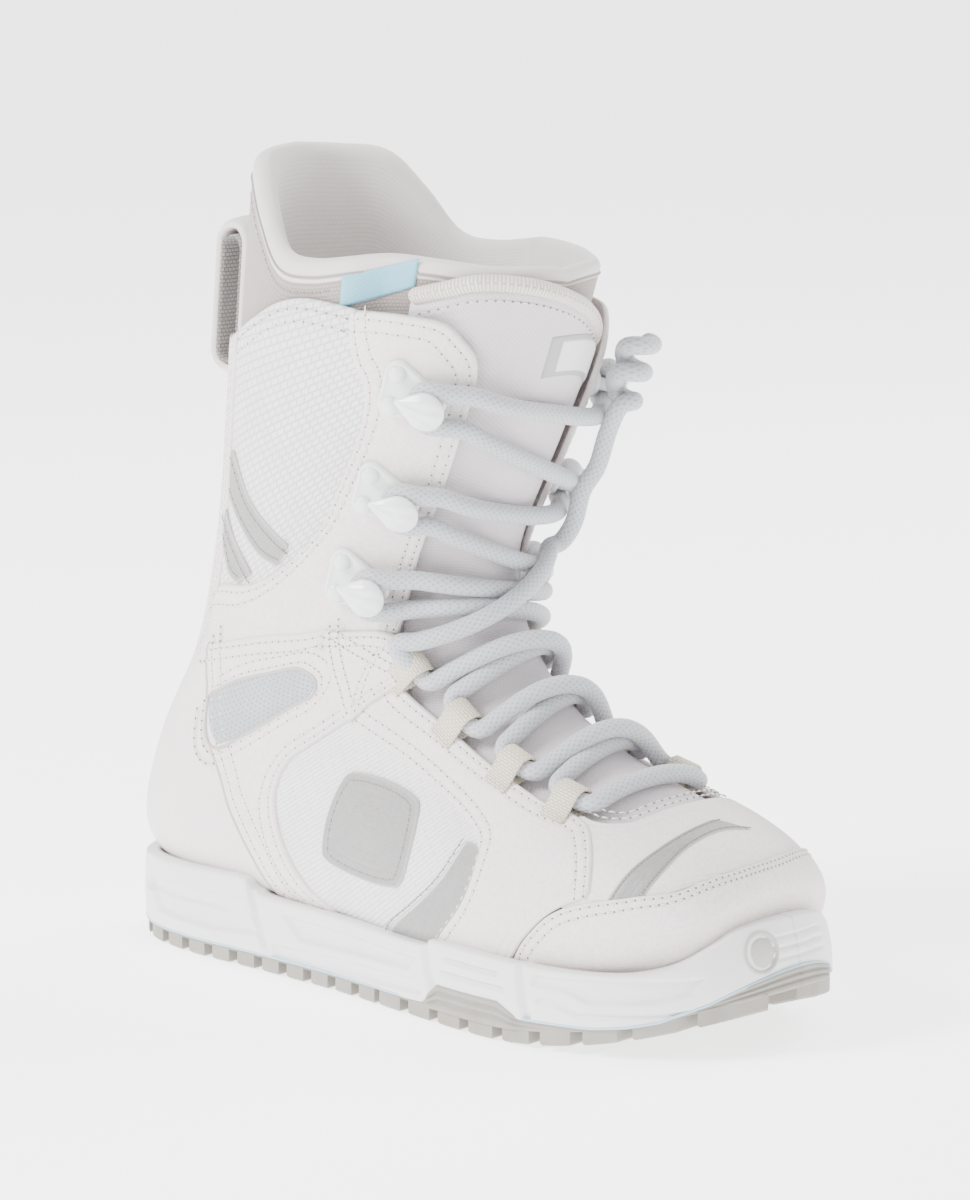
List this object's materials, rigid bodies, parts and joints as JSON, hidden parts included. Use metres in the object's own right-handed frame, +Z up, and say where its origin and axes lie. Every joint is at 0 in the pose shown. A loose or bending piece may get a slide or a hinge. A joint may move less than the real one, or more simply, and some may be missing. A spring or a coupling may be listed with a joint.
{
  "type": "snowboard boot",
  "caption": "Right snowboard boot: lugged rubber sole, moulded midsole, stitched upper, lace loops and hooks, laced tongue, padded liner and heel pull loop.",
  "frame": {"origin": "middle of the boot's footprint box on the ground, under the lug bottoms", "axes": "+X towards the toe, +Y towards the medial side (the inside of a right foot), +Z up"},
  "size_m": [0.292, 0.1136, 0.288],
  "materials": {
    "rubber_grey": "moulded rubber, matt",
    "midsole_white": "moulded foam, satin",
    "badge_grey": "moulded, satin",
    "leather_white": "grained synthetic leather, off-white",
    "board": "pressed fibre board",
    "liner_fabric": "knitted, light grey",
    "liner_lining": "brushed",
    "tongue_fabric": "fine woven, white",
    "webbing_cream": "woven webbing",
    "lace_cord": "braided cord, cool light grey",
    "plastic_white": "hard, slightly translucent white",
    "webbing_grey": "woven webbing, grey"
  },
  "bodies": {
    "foot": {"outsole_heel": "rubber_grey", "outsole_forefoot": "rubber_grey", "midsole": "midsole_white", "toe_badge": "badge_grey", "toe_cap": "leather_white", "vamp": "leather_white", "heel_counter": "leather_white", "quarter_lateral": "leather_white", "quarter_medial": "leather_white", "insole_board": "board", "liner_foot": "liner_fabric", "footbed": "liner_lining", "tongue_lower": "tongue_fabric", "lace_loop_lateral_1": "webbing_cream", "lace_loop_medial_1": "webbing_cream", "lace_loop_lateral_2": "webbing_cream", "lace_loop_medial_2": "webbing_cream", "lace_loop_lateral_3": "webbing_cream", "lace_loop_medial_3": "webbing_cream", "lace_loop_lateral_4": "webbing_cream", "lace_loop_medial_4": "webbing_cream", "lace_lower": "lace_cord"},
    "cuff": {"cuff_lateral": "leather_white", "cuff_medial": "leather_white", "backstay": "leather_white", "tongue_upper": "tongue_fabric", "tongue_binding": "webbing_cream", "liner_cuff": "liner_fabric", "liner_collar": "liner_lining", "hook_lateral_1": "plastic_white", "hook_lateral_2": "plastic_white", "hook_lateral_3": "plastic_white", "hook_medial_1": "plastic_white", "hook_medial_2": "plastic_white", "hook_medial_3": "plastic_white", "rivet_lateral_1_lower": "plastic_white", "rivet_lateral_1_upper": "plastic_white", "rivet_lateral_2_lower": "plastic_white", "rivet_lateral_2_upper": "plastic_white", "rivet_lateral_3_lower": "plastic_white", "rivet_lateral_3_upper": "plastic_white", "rivet_medial_1_lower": "plastic_white", "rivet_medial_1_upper": "plastic_white", "rivet_medial_2_lower": "plastic_white", "rivet_medial_2_upper": "plastic_white", "rivet_medial_3_lower": "plastic_white", "rivet_medial_3_upper": "plastic_white", "lace_upper_a": "lace_cord", "lace_upper_b": "lace_cord", "tongue_label": "webbing_grey"},
    "pull_loop": {"heel_pull_loop": "webbing_grey"}
  },
  "joints": [
    {"name": "cuff_flex", "type": "hinge", "parent": "foot", "child": "cuff", "pos_m": [-0.07396, 0.0014, 0.112], "axis": [0, 1, 0], "range_deg": [0, 8], "stiffness_Nm_per_rad": 40},
    {"name": "pull_loop_swing", "type": "hinge", "parent": "cuff", "child": "pull_loop", "pos_m": [-0.10746, 0.0014, 0.217], "axis": [0, 1, 0], "range_deg": [-90, 0], "stiffness_Nm_per_rad": 0.02}
  ]
}
